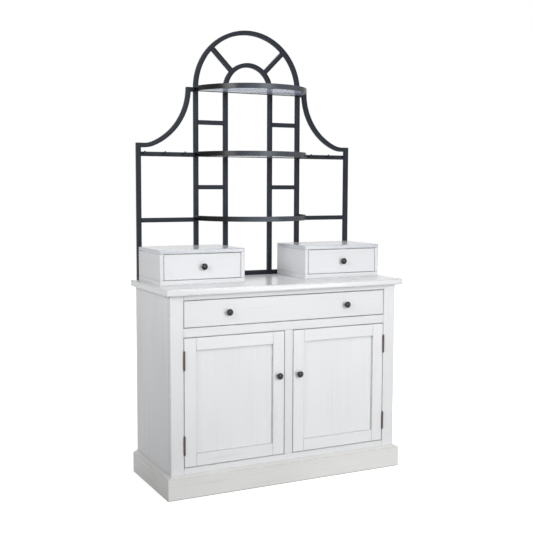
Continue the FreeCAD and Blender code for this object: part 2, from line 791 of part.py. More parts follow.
def make_tab(angle, z):
    """A flat tab that carries the glass, welded inside the band at an angle from the front."""
    root = "(tall_post_face - band_metal / 2)"
    tab = doc.addObject("Part::Box", "shelf_tab")
    for prop, size in (("Length", "tab_width"), ("Width", "tab_reach"), ("Height", "band_metal")):
        bind(tab, prop, size)
    tab.Placement.Rotation = FreeCAD.Rotation(UP, value(angle))
    bind(tab, "Placement.Rotation.Angle", angle)
    place(tab, f"{root} * sin({angle}) - tab_width / 2 * cos({angle})",
          f"shelf_centre - {root} * cos({angle}) - tab_width / 2 * sin({angle})", z)
    return tab


def make_shelves():
    """Half-round flat bands on the posts' faces, with glass on their tabs and rear bars."""
    whole = ("shelf_front - band_metal", "rack_front")
    bands, panes = [], []
    for low in ("top_shelf_underside", "middle_shelf_underside", "lower_shelf_underside"):
        hollow = shelf_slice("band_inside", "band_metal", (whole[0], "rack_front + band_metal"),
                             (f"{low} - band_metal", f"{low} + band_height + band_metal"))
        ring = cut("band_ring", shelf_slice("band_outside", "0", whole,
                                            (low, f"{low} + band_height")), hollow)
        seat = f"{low} + band_metal"
        rear_bar = shelf_slice("rear_bar", "0", ("rack_front - rear_bar_width", "rack_front"),
                               (low, seat))
        tabs = [make_tab(angle, low) for angle in ("-tab_angle", "0 * tab_angle", "tab_angle")]
        bands.append(fuse("band", ring, rear_bar, *tabs))
        panes.append(shelf_slice("pane", "band_metal + glass_play",
                                 (whole[0], "rack_front - glass_play"),
                                 (seat, f"{seat} + glass_thickness")))
    node("shelf_bands", group("bands", *bands))
    node("glass_shelves", group("panes", *panes))


# --- document -------------------------------------------------------------

def check_document():
    """Stop if any object failed or any sub-part isn't a sound solid."""
    for item in doc.Objects:
        if {"Invalid", "Error"} & set(item.State):
            raise RuntimeError(f"{item.Label} failed to recompute: {item.State}")
    for item in nodes:
        shape = item.Shape
        if shape.isNull() or not shape.isValid() or not shape.Solids:
            raise RuntimeError(f"{item.Label} isn't a valid solid")
        if min(solid.Volume for solid in shape.Solids) <= 0:
            raise RuntimeError(f"{item.Label} holds an inverted solid")


def main():
    """Build every sub-part, check the document and write the STEP files."""
    fill_sheet()
    for make in (make_case, make_face_frame, make_worktop, make_plinth, make_doors,
                 make_wide_drawer, make_boxes, make_posts, make_arches, make_crossbars,
                 make_hooks, make_scrolls, make_shelves):
        make()
    doc.recompute()
    check_document()
    os.makedirs("parts", exist_ok=True)
    for item in nodes:
        item.Shape.exportStep(f"parts/{item.Label}.step")
    print(f"{len(nodes)} sub-parts written")


main()
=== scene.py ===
"""A baker's rack: a painted sideboard with an arched metal rack, dressed for rendering.

Metres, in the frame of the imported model: +X right, +Y back, +Z up, origin on the floor.
Each sub-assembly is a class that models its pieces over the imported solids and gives
every surface its finish. The left half is modelled and the right half is its mirror.
"""

import logging
import math
import zlib
from collections.abc import Callable, Sequence
from dataclasses import dataclass, field
from enum import Enum
from typing import Any

import bpy
from mathutils import Matrix, Vector


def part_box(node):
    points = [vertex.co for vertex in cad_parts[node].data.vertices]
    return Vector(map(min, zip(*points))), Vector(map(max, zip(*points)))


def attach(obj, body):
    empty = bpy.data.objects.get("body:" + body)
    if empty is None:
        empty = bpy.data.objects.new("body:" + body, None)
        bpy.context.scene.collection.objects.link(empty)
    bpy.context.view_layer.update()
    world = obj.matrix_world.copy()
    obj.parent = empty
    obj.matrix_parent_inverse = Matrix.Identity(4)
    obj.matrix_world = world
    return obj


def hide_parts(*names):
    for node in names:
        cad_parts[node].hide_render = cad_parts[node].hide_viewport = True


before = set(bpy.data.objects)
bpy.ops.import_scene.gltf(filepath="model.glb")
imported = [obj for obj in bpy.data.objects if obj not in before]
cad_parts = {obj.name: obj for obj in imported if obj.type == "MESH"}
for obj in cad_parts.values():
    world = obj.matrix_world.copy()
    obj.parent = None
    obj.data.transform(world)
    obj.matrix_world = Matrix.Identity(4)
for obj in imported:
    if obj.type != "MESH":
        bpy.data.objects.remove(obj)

log = logging.getLogger("bakers_rack")

MM = 0.001
SMOOTH_ANGLE = math.radians(30.0)
ALIGNED = 0.9  # the least dot product of two directions that counts as pointing one way
TONES = 997
EDGE = "edge"
TONE = "tone"


class Axis(Enum):
    """A direction of the frame."""

    X = 0
    Y = 1
    Z = 2

    @property
    def vector(self) -> Vector:
        """The unit vector along this axis."""
        return Vector([float(self.value == index) for index in range(3)])


class Side(Enum):
    """The half of the rack that a piece is in."""

    LEFT = "left"
    RIGHT = "right"


class Part(Enum):
    """What a test picks on a mesh, by the mesh's own name for it."""

    EDGE = "edges"
    FACE = "polygons"


def spot(x: float = 0.0, y: float = 0.0, z: float = 0.0) -> Vector:
    """A point of the frame."""
    return Vector((x, y, z))


# --- modelling bench ---

FaceTest = Callable[[bpy.types.MeshPolygon], bool]
EdgeTest = Callable[[Vector, Vector], bool]


def bench_mode(mode: str) -> None:
    """Put the active object in a mode, "OBJECT" or "EDIT", if it isn't already in it."""
    if bpy.context.object and bpy.context.object.mode != mode:
        bpy.ops.object.mode_set(mode=mode)


def clear_bench() -> None:
    """Leave edit mode and deselect everything."""
    bench_mode("OBJECT")
    bpy.ops.object.select_all(action="DESELECT")


class Workpiece:
    """One mesh on the bench, shaped with edit-mode tools and then finished onto a body."""

    def __init__(self, name: str) -> None:
        """Take over the primitive that was just added.

        Args:
            name: The piece's name.
        """
        self.object: bpy.types.Object = bpy.context.object
        self.object.name = name
        self.object.data.name = name
        bpy.ops.object.transform_apply(location=True, rotation=True, scale=True)

    @classmethod
    def start(cls, name: str, primitive: Callable[..., Any], **settings: Any) -> "Workpiece":
        """Add a primitive to the scene and take it over.

        Args:
            name: The piece's name.
            primitive: The operator that adds it.
            settings: The operator's settings.

        Returns:
            The new workpiece.
        """
        clear_bench()
        primitive(**settings)
        return cls(name)

    @classmethod
    def block(cls, name: str, low: Vector, high: Vector) -> "Workpiece":
        """Start from a rectangular blank between its lowest and its highest corner."""
        return cls.start(name, bpy.ops.mesh.primitive_cube_add, size=1.0,
                         location=(low + high) / 2, scale=high - low)

    @property
    def mesh(self) -> bpy.types.Mesh:
        """The workpiece's mesh."""
        return self.object.data

    def hold(self) -> None:
        """Make this the one selected, active object, in object mode."""
        clear_bench()
        self.object.select_set(True)
        bpy.context.view_layer.objects.active = self.object

    def pick(self, kind: Part, test: Callable[[Any], bool]) -> "Workpiece":
        """Select the edges or the faces that pass a test, and nothing else.

        Args:
            kind: Which of them.
            test: Says for each one whether it is wanted.

        Returns:
            This workpiece.
        """
        self.hold()
        modes = (False, kind is Part.EDGE, kind is Part.FACE)
        bpy.context.tool_settings.mesh_select_mode = modes
        for name in ("vertices", "edges", "polygons"):
            parts = getattr(self.mesh, name)
            parts.foreach_set("select", [name == kind.value and test(part) for part in parts])
        return self

    def faces(self, test: FaceTest) -> "Workpiece":
        """Select the faces that pass a test."""
        return self.pick(Part.FACE, test)

    def edges(self, test: EdgeTest) -> "Workpiece":
        """Select the edges whose two ends pass a test."""
        points = self.mesh.vertices
        return self.pick(Part.EDGE, lambda edge: test(*(points[end].co for end in edge.vertices)))

    def all(self) -> "Workpiece":
        """Select every face."""
        return self.faces(lambda face: True)

    def run(self, tool: Callable[..., Any], **settings: Any) -> "Workpiece":
        """Use one edit-mode tool on what is selected.

        Args:
            tool: The operator.
            settings: Its settings.

        Returns:
            This workpiece.
        """
        bench_mode("EDIT")
        tool(**settings)
        bench_mode("OBJECT")
        return self

    def bend(self, centre: Vector, angle: float, way: int, steps: int) -> "Workpiece":
        """Bend the selected end about an axis along Y, from +X towards -Z if the way is 1."""
        return self.run(bpy.ops.mesh.spin, steps=steps, angle=angle, center=tuple(centre),
                        axis=(0.0, -float(way), 0.0), use_auto_merge=False)

    def extrude(self, shift: Vector) -> "Workpiece":
        """Extrude the selected faces."""
        return self.run(bpy.ops.mesh.extrude_region_move,
                        TRANSFORM_OT_translate={"value": tuple(shift)})

    def scale(self, factor: float, centre: Vector) -> "Workpiece":
        """Scale what is selected about a point."""
        return self.run(bpy.ops.transform.resize, value=(factor,) * 3,
                        center_override=tuple(centre))

    def turn(self, degrees: float, axis: Axis, centre: Vector) -> "Workpiece":
        """Turn the whole piece about a line through a point."""
        return self.all().run(bpy.ops.transform.rotate, value=math.radians(degrees),
                              orient_axis=axis.name, center_override=tuple(centre))

    def slice(self, point: Vector, normal: Vector, clear: bool = True) -> "Workpiece":
        """Cut the piece along a plane; to clear it drops the side that the normal points to."""
        return self.all().run(bpy.ops.mesh.bisect, plane_co=tuple(point),
                              plane_no=tuple(normal), use_fill=clear, clear_outer=clear)

    def ease(self, radius: float, segments: int = 2) -> "Workpiece":
        """Round the selected edges."""
        return self.run(bpy.ops.mesh.bevel, offset=radius, segments=segments, affect="EDGES",
                        clamp_overlap=True)

    def sharp(self, degrees: float = 30.0) -> "Workpiece":
        """Select the edges where two faces meet at more than an angle."""
        self.pick(Part.EDGE, lambda edge: False)
        return self.run(bpy.ops.mesh.edges_select_sharp, sharpness=math.radians(degrees))

    def width(self, face: bpy.types.MeshPolygon) -> float:
        """How wide a face is across its longest way."""
        columns = zip(*(self.mesh.vertices[index].co for index in face.vertices))
        return face.area / max(max(column) - min(column) for column in columns)

    def mark_edges(self, margin: float) -> "Workpiece":
        """Draw a margin inside each main face, so that wear, and the panels' painted shade, can
        follow the edges.

        The attribute EDGE is 1 along the edges and falls to 0 at the margin's inner line.

        Args:
            margin: The margin's width. Faces under three times as wide get none.

        Returns:
            This workpiece.
        """
        self.faces(lambda face: self.width(face) > 3 * margin)
        self.run(bpy.ops.mesh.inset, thickness=margin, use_individual=True)
        inner = {index for face in self.mesh.polygons if face.select for index in face.vertices}
        wear_and_shade = self.mesh.attributes.get(EDGE) or self.mesh.attributes.new(EDGE, "FLOAT", "POINT")
        wear_and_shade.data.foreach_set(
            "value", [float(index not in inner) for index in range(len(self.mesh.vertices))])
        return self

    def tidy(self) -> "Workpiece":
        """Merge doubled points and turn every face outwards."""
        self.all().run(bpy.ops.mesh.remove_doubles, threshold=1e-6)
        return self.all().run(bpy.ops.mesh.normals_make_consistent, inside=False)

    def copy(self, name: str) -> "Workpiece":
        """Make a second piece with its own mesh.

        Args:
            name: The copy's name.

        Returns:
            The copy.
        """
        self.hold()
        bpy.ops.object.duplicate(linked=False)
        return Workpiece(name)

    def moved(self, name: str, shift: Vector) -> "Workpiece":
        """Make a copy at another place."""
        return self.copy(name).all().run(bpy.ops.transform.translate, value=tuple(shift))

    def mirrored(self, name: str) -> "Workpiece":
        """Make the mirror image across the middle of the rack.

        Args:
            name: The image's name.

        Returns:
            The image.
        """
        twin = self.copy(name)
        twin.object.scale.x = -1.0
        twin.hold()
        bpy.ops.object.transform_apply(location=False, rotation=False, scale=True)
        return twin.tidy()

    def join(self, *others: "Workpiece") -> "Workpiece":
        """Take other workpieces into this one.

        Args:
            others: The other workpieces.

        Returns:
            This workpiece.
        """
        self.hold()
        for other in others:
            other.object.select_set(True)
        bpy.ops.object.join()
        return self

    def finish(self, body: str, finish: "Finish", *nodes: str) -> None:
        """Shade the piece, give it its finish and put it on its body.

        Args:
            body: The body that it rides on.
            finish: What it is coated with.
            nodes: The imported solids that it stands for.
        """
        self.hold()
        bpy.ops.object.shade_smooth_by_angle(angle=SMOOTH_ANGLE)
        self.mesh.materials.clear()
        self.mesh.materials.append(finish.material())
        if isinstance(finish, Paint):
            tone = self.mesh.attributes.new(TONE, "FLOAT", "POINT")
            shade = zlib.crc32(self.object.name.encode()) % TONES / TONES
            tone.data.foreach_set("value", [shade] * len(self.mesh.vertices))
        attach(self.object, body)
        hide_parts(*nodes)

    def finish_pair(self, name: str, body: str, finish: "Finish", node: str) -> None:
        """Finish this left-hand piece and its mirror image.

        Args:
            name: Their names, with {side} where they say left or right.
            body: Their bodies, in the same way.
            finish: What both are coated with.
            node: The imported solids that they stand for, in the same way.
        """
        twin = self.mirrored(name.format(side=Side.RIGHT.value))
        self.object.name = name.format(side=Side.LEFT.value)
        for side, work in ((Side.LEFT, self), (Side.RIGHT, twin)):
            own, stood_for = (text.format(side=side.value) for text in (body, node))
            work.finish(own, finish, stood_for)


# --- finishes ---

Socket = bpy.types.NodeSocket
Colour = tuple[float, float, float, float]
Range = tuple[float, float]


def rgb(red: float, green: float, blue: float) -> Colour:
    """A linear colour with full alpha."""
    return red, green, blue, 1.0


WHITE = rgb(1.0, 1.0, 1.0)


class NodeTree:
    """The nodes of a material or of the surround, added one at a time."""

    def __init__(self, owner: bpy.types.Material | bpy.types.World) -> None:
        """Switch the owner's nodes on."""
        owner.use_nodes = True
        self.tree = owner.node_tree

    def add(self, kind: str, settings: dict[str, Any] | None = None,
            **inputs: Any) -> bpy.types.Node:
        """Add a node.

        Args:
            kind: The node's type, without its ShaderNode prefix.
            settings: Properties to set on it.
            inputs: Numbers, colours or sockets for its inputs, by name; an underscore
                stands for a space, and in_0 for the first input.

        Returns:
            The node.
        """
        node = self.tree.nodes.new(f"ShaderNode{kind}")
        for name, choice in (settings or {}).items():
            setattr(node, name, choice)
        for name, source in inputs.items():
            key = int(name[3:]) if name.startswith("in_") else name.replace("_", " ")
            self.feed(node.inputs[key], source)
        return node

    def feed(self, target: Socket, source: Any) -> None:
        """Give an input its value.

        Args:
            target: The input.
            source: A socket to link to it, or a number, vector or colour.
        """
        if isinstance(source, Socket):
            self.tree.links.new(source, target)
        else:
            target.default_value = source

    def maths(self, operation: str, *values: Any) -> Socket:
        """Work out one or two values."""
        inputs = {f"in_{index}": value for index, value in enumerate(values)}
        return self.add("Math", {"operation": operation}, **inputs).outputs[0]

    def span(self, source: Socket, low: float, high: float, to_low: float = 0.0,
             to_high: float = 1.0) -> Socket:
        """Map the values from low to high onto to_low to to_high, clamped."""
        return self.add("MapRange", Value=source, From_Min=low, From_Max=high, To_Min=to_low,
                        To_Max=to_high).outputs["Result"]

    def seen(self) -> Socket:
        """What is looked at directly, in a reflection or through glass.

        Returns:
            1 for those rays, 0 for light.
        """
        path = self.add("LightPath")
        share = path.outputs["Is Camera Ray"]
        for kind in ("Is Glossy Ray", "Is Transmission Ray"):
            share = self.maths("MAXIMUM", share, path.outputs[kind])
        return share


class Recipe(NodeTree):
    """A material's nodes around one Principled shader."""

    def __init__(self, name: str) -> None:
        """Start a material of this name."""
        self.material = bpy.data.materials.new(name)
        super().__init__(self.material)

    def surface(self, **inputs: Any) -> None:
        """Set or link the shader's own inputs, by name with underscores for spaces."""
        for name, source in inputs.items():
            self.feed(self.tree.nodes["Principled BSDF"].inputs[name.replace("_", " ")], source)

    def place(self, *stretch: float) -> Socket:
        """The object's own coordinates, stretched by one number or by one for each axis."""
        scale = stretch * 3 if len(stretch) == 1 else stretch
        return self.add("Mapping", Vector=self.add("TexCoord").outputs["Object"],
                        Scale=scale).outputs["Vector"]

    def part(self, axis: Axis) -> Socket:
        """One of the object's own coordinates, in metres."""
        return self.add("SeparateXYZ", Vector=self.place(1.0)).outputs[axis.name]

    def noise(self, stretch: Sequence[float], detail: float = 3.0, roughness: float = 0.55,
              offset: Socket | None = None) -> Socket:
        """Soft noise between 0 and 1.

        Args:
            stretch: How fine it is, for all axes or for each.
            detail: How many finer layers it has.
            roughness: How strong those are.
            offset: A vector that moves it, so that boards differ.

        Returns:
            The noise's value.
        """
        place = self.place(*stretch)
        if offset is not None:
            place = self.add("VectorMath", {"operation": "ADD"}, in_0=place,
                             in_1=offset).outputs[0]
        return self.add("TexNoise", Vector=place, Scale=1.0, Detail=detail,
                        Roughness=roughness).outputs["Fac"]

    def blend(self, share: Socket, first: Any, second: Any) -> Socket:
        """Mix two colours.

        Args:
            share: How much of the second.
            first: A colour.
            second: A colour.

        Returns:
            The mixed colour.
        """
        mix = self.add("Mix", {"data_type": "RGBA"}, Factor=share)
        colours = [socket for socket in mix.inputs if socket.type == "RGBA"]
        for target, source in zip(colours, (first, second)):
            self.feed(target, source)
        return next(socket for socket in mix.outputs if socket.type == "RGBA")

    def bump(self, height: Socket, strength: float, distance: float) -> Socket:
        """The normal of a height whose value of 1 stands for a distance in metres."""
        return self.add("Bump", Height=height, Strength=strength,
                        Distance=distance).outputs["Normal"]


@dataclass(frozen=True)
class Finish:
    """What a surface is coated with or made of."""

    slot = ""

    @property
    def title(self) -> str:
        """The material's name."""
        return type(self).__name__.lower()

    def material(self) -> bpy.types.Material:
        """Make the finish's material, or find it if it is made.

        Returns:
            The material.
        """
        found = bpy.data.materials.get(self.title)
        if found:
            return found
        recipe = Recipe(self.title)
        self.mix(recipe)
        return recipe.material

    def mix(self, recipe: Recipe) -> None:
        """Add this finish's nodes to its material."""
        raise NotImplementedError

    def shade(self, recipe: Recipe, colour: Socket) -> Socket:
        """The colour as it varies over the piece; even, unless a finish deepens it."""
        return colour


@dataclass(frozen=True)
class GrainedFinish(Finish):
    """A finish with lines along the board."""

    grain: Axis = Axis.Z

    @property
    def title(self) -> str:
        """The material's name, with the way that its lines run."""
        return f"{type(self).__name__.lower()}_along_{self.grain.name.lower()}"

    def stretch(self, across: float, along: float) -> list[float]:
        """Scales that draw a pattern out along the grain."""
        return [along if index == self.grain.value else across for index in range(3)]


@dataclass(frozen=True)
class Paint(GrainedFinish):
    """White paint, brushed along the board, with a thin grey glaze left in the strokes."""

    slot = "white_paint"
    white: Colour = rgb(0.80, 0.81, 0.825)
    glaze: Colour = rgb(0.60, 0.61, 0.62)
    # rubbed also colours the panels' band of glaze and painted shade along their grooves
    rubbed: Colour = rgb(0.42, 0.40, 0.37)
    strokes_per_metre: float = 300.0
    stroke_stretch: float = 0.012
    strokes_per_band: float = 7.0
    board_shift: tuple[float, float, float] = (37.0, 53.0, 71.0)
    stroke_reach: Range = (0.50, 0.72)
    band_reach: Range = (0.35, 0.7)
    glaze_share: float = 0.42
    cloud_reach: Range = (0.35, 0.75)
    cloud_share: float = 0.45
    ragged_reach: Range = (0.3, 0.7)
    wear_reach: Range = (0.0, 1.0)
    wear_share: Range = (0.0, 0.4)
    sheen: Range = (0.34, 0.52)

    def mix(self, recipe: Recipe) -> None:
        """Add strokes, glaze, cloudy tone and rubbed edges; on the panels the edge band is glaze
        and painted shade.

        Args:
            recipe: The material's nodes.
        """
        tone, edge = (recipe.add("Attribute", {"attribute_name": name}).outputs["Fac"]
                      for name in (TONE, EDGE))
        shift = recipe.add("CombineXYZ", **{
            axis.name: recipe.maths("MULTIPLY", tone, reach)
            for axis, reach in zip(Axis, self.board_shift)}).outputs[0]
        fine = self.stretch(self.strokes_per_metre, self.strokes_per_metre * self.stroke_stretch)
        wide = [scale / self.strokes_per_band for scale in fine]
        strokes = recipe.noise(fine, 4.0, 0.6, shift)
        bands = recipe.noise(wide, 3.0, 0.5, shift)
        cloud = recipe.noise(self.stretch(4.0, 1.6), 2.0, 0.5, shift)
        ragged = recipe.noise([60.0], 3.0, 0.6, shift)
        worn = recipe.maths("MULTIPLY", recipe.span(strokes, *self.stroke_reach),
                            recipe.span(bands, *self.band_reach))
        clouded = recipe.maths(
            "ADD", worn, recipe.span(cloud, *self.cloud_reach, 0.0, self.cloud_share))
        colour = recipe.blend(recipe.maths("MULTIPLY", clouded, self.glaze_share),
                              self.white, self.glaze)
        # rubbed edges, and on the panels glaze and painted shade along the grooves
        wear_and_shade = recipe.maths("MULTIPLY", recipe.span(edge, *self.wear_reach),
                            recipe.span(ragged, *self.ragged_reach, *self.wear_share))
        colour = recipe.blend(wear_and_shade, colour, self.rubbed)
        recipe.surface(Base_Color=self.shade(recipe, colour),
                       Roughness=recipe.span(strokes, 0.3, 0.8, *self.sheen),
                       Normal=recipe.bump(strokes, 0.35, 0.00025), Specular_IOR_Level=0.45)


@dataclass(frozen=True)
class SidePaint(Paint):
    """The paint of the wide sides, in plainer upright strokes."""

    glaze: Colour = rgb(0.55, 0.57, 0.58)
    strokes_per_metre: float = 160.0
    glaze_share: float = 0.62


@dataclass(frozen=True)
class DoorPaint(Paint):
    """The doors' paint, in a lighter white as painted light, with glaze left in a line along every
    joint.
    """

    # A lighter white than the frame's: painted light that lifts the doors, which the lamps leave
    # dimmer
    white: Colour = rgb(0.84, 0.851, 0.867)
    wear_reach: Range = (0.6, 1.0)
    wear_share: Range = (0.3, 0.7)


@dataclass(frozen=True)
class PanelPaint(DoorPaint):
    """The door panels' paint, with glaze and painted shade in a band where they enter their
    grooves.
    """

    # glaze and painted shade: a dark band along the panel's edges, where the recess falls into
    # shadow
    wear_reach: Range = (0.0, 0.24)
    wear_share: Range = (0.6, 0.9)


@dataclass(frozen=True)
class BoxPaint(Paint):
    """The drawer boxes' paint, a shade cooler, and darker as painted shade on the boxes."""

    # A darker copy of the frame's white: painted shade that dims the boxes' fronts and sides
    white: Colour = rgb(0.70, 0.712, 0.73)


@dataclass(frozen=True)
class TopPaint(Paint):
    """The same paint under the harder, glossier lacquer of the level tops."""

    sheen: Range = (0.16, 0.28)


@dataclass(frozen=True)
class LidPaint(TopPaint):
    """The lacquered paint of the drawer boxes' tops, dimmed to blue-grey as painted shade and a
    painted cool reflection.
    """

    # Painted shade and a painted cool reflection: the tops' white dimmed to blue-grey
    white: Colour = rgb(0.56, 0.585, 0.625)


@dataclass(frozen=True)
class SkirtingPaint(Paint):
    """The paint of the skirting, cloudier and scuffed by feet, with a painted contact shadow along
    its foot.
    """

    # A lighter white than the frame's, partly the skirting's own tone and partly painted light on
    # the low skirting
    white: Colour = rgb(0.82, 0.82, 0.81)
    glaze: Colour = rgb(0.54, 0.525, 0.505)
    glaze_share: float = 0.5
    cloud_share: float = 0.7
    wear_share: Range = (0.0, 0.5)
    # painted contact shadow: a dark band along the foot where the skirting meets the floor
    dirt: Colour = rgb(0.22, 0.17, 0.14)
    dirt_height: float = 5.0 * MM
    dirt_share: float = 0.8

    def shade(self, recipe: Recipe, colour: Socket) -> Socket:
        """Darken the foot with a painted contact shadow where the skirting meets the floor."""
        share = recipe.span(recipe.part(Axis.Z), 0.0, self.dirt_height, self.dirt_share, 0.0)
        return recipe.blend(share, colour, self.dirt)


@dataclass(frozen=True)
class DrawerWood(GrainedFinish):
    """Pale plain-sawn wood with a thin satin lacquer, for what the paint doesn't reach."""

    slot = "drawer_wood"
    light: Colour = rgb(0.62, 0.47, 0.31)
    dark: Colour = rgb(0.44, 0.30, 0.18)

    def mix(self, recipe: Recipe) -> None:
        """Add growth rings, pores and a satin sheen.

        Args:
            recipe: The material's nodes.
        """
        figure = recipe.add("TexWave", {"wave_type": "RINGS", "rings_direction": "Y"},
                            Vector=recipe.place(*self.stretch(42.0, 3.0)), Scale=0.35,
                            Distortion=6.0, Detail=3.0).outputs["Fac"]
        pore = recipe.noise(self.stretch(900.0, 20.0), 2.0)
        share = recipe.maths("MULTIPLY", recipe.span(figure, 0.1, 0.9),
                             recipe.span(pore, 0.3, 0.7, 0.4, 1.0))
        recipe.surface(Base_Color=recipe.blend(share, self.light, self.dark),
                       Roughness=recipe.span(pore, 0.3, 0.7, 0.38, 0.55),
                       Normal=recipe.bump(pore, 0.3, 0.0002))


@dataclass(frozen=True)
class PowderCoat(Finish):
    """Charcoal powder coat with a fine orange-peel skin."""

    slot = "black_metal"
    base: Colour = rgb(0.016, 0.020, 0.027)
    dusty: Colour = rgb(0.026, 0.031, 0.041)
    sheen: Range = (0.33, 0.42)
    gloss: float = 0.08

    def mix(self, recipe: Recipe) -> None:
        """Add a speckled tone and the skin's fine bumps.

        Args:
            recipe: The material's nodes.
        """
        cloud, peel = recipe.noise([9.0]), recipe.noise([700.0], 2.0)
        colour = recipe.blend(recipe.span(cloud, 0.3, 0.75), self.base, self.dusty)
        recipe.surface(Base_Color=self.shade(recipe, colour),
                       Roughness=recipe.span(cloud, 0.3, 0.7, *self.sheen),
                       Normal=recipe.bump(peel, 0.25, 0.0002), Specular_IOR_Level=self.gloss)


@dataclass(frozen=True)
class BandCoat(PowderCoat):
    """The same coat on flat strip, smoother, in a lighter base that paints the highlight of its lit
    middle, with painted shade that deepens it towards the ends.
    """

    # A lighter base and dust than the posts' coat: painted highlight for the band's lit middle
    base: Colour = rgb(0.050, 0.059, 0.072)
    dusty: Colour = rgb(0.072, 0.082, 0.100)
    sheen: Range = (0.25, 0.32)
    gloss: float = 0.22
    # painted shade: near-black on the band's ends, where the curve turns from the light
    pooled: Colour = rgb(0.001, 0.001, 0.002)
    pool_reach: Range = (0.11, 0.20)

    def shade(self, recipe: Recipe, colour: Socket) -> Socket:
        """Deepen the colour from the middle of the band to its ends, as painted shade where the
        curved band turns from the light.
        """
        away = recipe.maths("ABSOLUTE", recipe.part(Axis.X))
        return recipe.blend(recipe.span(away, *self.pool_reach), colour, self.pooled)


@dataclass(frozen=True)
class RubbedMetal(Finish):
    """Dark metal, brighter in the patches that hands and edges have rubbed."""

    base: Colour = rgb(0.016, 0.011, 0.009)
    rubbed: Colour = rgb(0.060, 0.038, 0.025)
    patches: float = 120.0
    detail: float = 3.0
    sheen: Range = (0.3, 0.5)
    relief: Range = (0.2, 0.0003)

    def mix(self, recipe: Recipe) -> None:
        """Add the darker and the brighter patches.

        Args:
            recipe: The material's nodes.
        """
        patch = recipe.noise([self.patches], self.detail)
        share = recipe.span(patch, 0.45, 0.8)
        recipe.surface(Base_Color=recipe.blend(share, self.base, self.rubbed),
                       Roughness=recipe.span(patch, 0.3, 0.7, *self.sheen),
                       Normal=recipe.bump(patch, *self.relief))


@dataclass(frozen=True)
class Bronze(RubbedMetal):
    """Oil-rubbed bronze."""

    slot = "bronze"

    def mix(self, recipe: Recipe) -> None:
        """Let the metal show through its oiled skin."""
        super().mix(recipe)
        recipe.surface(Metallic=0.5, Specular_IOR_Level=0.3)


@dataclass(frozen=True)
class KnobMetal(RubbedMetal):
    """Near-black cast metal with a soft polish."""

    slot = "dark_knob"
    base: Colour = rgb(0.006, 0.006, 0.0065)
    rubbed: Colour = rgb(0.022, 0.020, 0.018)
    patches: float = 160.0
    detail: float = 4.0
    sheen: Range = (0.22, 0.32)
    relief: Range = (0.08, 0.0001)

    def mix(self, recipe: Recipe) -> None:
        """Add a thin coat of wax over the casting."""
        super().mix(recipe)
        recipe.surface(Specular_IOR_Level=0.35, Coat_Weight=0.15, Coat_Roughness=0.1)


@dataclass(frozen=True)
class Zinc(Finish):
    """Zinc-plated steel, drawn along the slide."""

    slot = "zinc_steel"
    pale: Colour = rgb(0.62, 0.63, 0.65)
    dull: Colour = rgb(0.44, 0.45, 0.47)

    def mix(self, recipe: Recipe) -> None:
        """Add draw lines and spangle."""
        lines, spangle = recipe.noise([900.0, 12.0, 900.0], 2.0), recipe.noise([90.0], 2.0)
        recipe.surface(Base_Color=recipe.blend(spangle, self.pale, self.dull),
                       Roughness=recipe.span(lines, 0.3, 0.7, 0.28, 0.42),
                       Normal=recipe.bump(lines, 0.2, 0.0001), Metallic=1.0)


@dataclass(frozen=True)
class ShelfGlass(Finish):
    """Clear toughened glass with a cool cast and slightly dull arrises."""

    slot = "glass"
    cast: Colour = rgb(0.72, 0.78, 0.95)
    smear: Colour = rgb(0.76, 0.82, 0.98)
    cover: Range = (0.08, 0.64)

    def mix(self, recipe: Recipe) -> None:
        """Add the faint smears that wiping leaves, and let the pane clear face-on.

        Args:
            recipe: The material's nodes.
        """
        wipe = recipe.noise([6.0, 22.0, 6.0])
        facing = recipe.add("LayerWeight", Blend=0.5).outputs["Facing"]
        recipe.surface(Base_Color=recipe.blend(recipe.span(wipe, 0.4, 0.8), self.cast, self.smear),
                       Roughness=recipe.span(wipe, 0.35, 0.8, 0.02, 0.09),
                       Alpha=recipe.span(facing, 0.3, 0.9, *self.cover),
                       Specular_IOR_Level=0.006)


def dress(finish: Finish, *nodes: str) -> None:
    """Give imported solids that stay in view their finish.

    Args:
        finish: What they are coated with.
        nodes: The solids' names.
    """
    for name in nodes:
        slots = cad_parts[name].data.materials
        slots.clear()
        slots.append(finish.material())


# --- studio ---

@dataclass(frozen=True)
class Lamp:
    """A square soft lamp on a stand, out of sight."""

    place: tuple[float, float, float]
    size: float
    power: float
    aim: float = 0.9
    spread: float = 180.0

    def hang(self, name: str) -> None:
        """Hang the lamp, facing the middle of the rack at its aim's height.

        Args:
            name: The lamp's name.
        """
        data = bpy.data.lights.new(name, "AREA")
        data.size = self.size
        data.energy = self.power
        data.spread = math.radians(self.spread)
        lamp = bpy.data.objects.new(name, data)
        bpy.context.collection.objects.link(lamp)
        facing = spot(z=self.aim) - Vector(self.place)
        lamp.matrix_world = (Matrix.Translation(self.place)
                             @ facing.to_track_quat("-Z", "Y").to_matrix().to_4x4())
        lamp.visible_camera = False


